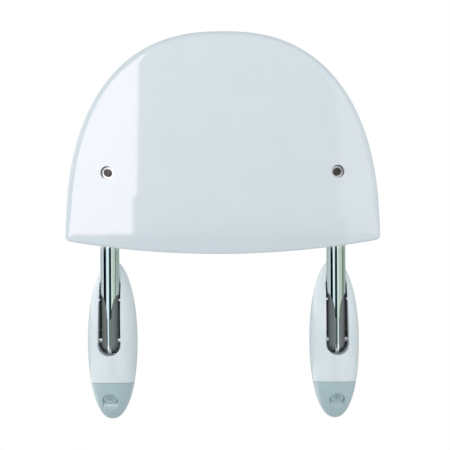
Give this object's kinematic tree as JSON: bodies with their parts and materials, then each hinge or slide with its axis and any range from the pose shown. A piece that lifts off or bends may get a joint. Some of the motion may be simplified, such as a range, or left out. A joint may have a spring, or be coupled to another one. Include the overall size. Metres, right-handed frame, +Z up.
{
  "type": "fold-up shower seat",
  "caption": "Wall-mounted shower seat that folds up: a D-shaped white seat on chrome arm tubes, hinged in slotted oval wall brackets with grey end caps.",
  "frame": {"origin": "on the wall's face, midway between the two brackets, at the height of the hinge pins", "axes": "+X along the wall, to the right as seen from the room; +Y into the wall; +Z up"},
  "size_m": [0.41, 0.0596, 0.5144],
  "materials": {
    "white_plastic": "gloss white, moulded",
    "grey_plastic": "satin blue-grey, moulded",
    "cheek_plastic": "satin grey, moulded",
    "chrome": "polished",
    "zinc_steel": "zinc plated",
    "dark_steel": "black oxide",
    "brass": "plain",
    "rubber": "matt black",
    "acetal": "natural white"
  },
  "bodies": {
    "wall_brackets": {"left_upper_cover": "white_plastic", "left_lower_cover": "white_plastic", "left_end_cap": "grey_plastic", "left_cap_plug": "grey_plastic", "left_wall_plate": "zinc_steel", "left_wall_screw_top": "zinc_steel", "left_wall_screw_middle": "zinc_steel", "left_wall_screw_bottom": "zinc_steel", "left_rest_pad": "rubber", "left_stop_pin": "zinc_steel", "left_hinge_pin": "zinc_steel", "left_pin_ring": "dark_steel", "left_bush_a": "acetal", "left_bush_b": "acetal", "right_upper_cover": "white_plastic", "right_lower_cover": "white_plastic", "right_end_cap": "grey_plastic", "right_cap_plug": "grey_plastic", "right_wall_plate": "zinc_steel", "right_wall_screw_top": "zinc_steel", "right_wall_screw_middle": "zinc_steel", "right_wall_screw_bottom": "zinc_steel", "right_rest_pad": "rubber", "right_stop_pin": "zinc_steel", "right_hinge_pin": "zinc_steel", "right_pin_ring": "dark_steel", "right_bush_a": "acetal", "right_bush_b": "acetal"},
    "folding_seat": {"seat_under_shell": "white_plastic", "seat_top_shell": "white_plastic", "left_arm_tube": "chrome", "left_hinge_blade": "chrome", "left_inner_cheek": "cheek_plastic", "left_outer_cheek": "cheek_plastic", "left_tube_plug": "rubber", "left_threaded_insert": "brass", "left_seat_screw": "dark_steel", "left_seat_washer": "zinc_steel", "right_arm_tube": "chrome", "right_hinge_blade": "chrome", "right_inner_cheek": "cheek_plastic", "right_outer_cheek": "cheek_plastic", "right_tube_plug": "rubber", "right_threaded_insert": "brass", "right_seat_screw": "dark_steel", "right_seat_washer": "zinc_steel"}
  },
  "joints": [
    {"name": "seat_fold", "type": "hinge", "parent": "wall_brackets", "child": "folding_seat", "pos_m": [0, -0.0315, 0], "axis": [1, 0, 0], "range_deg": [0, 90]}
  ]
}
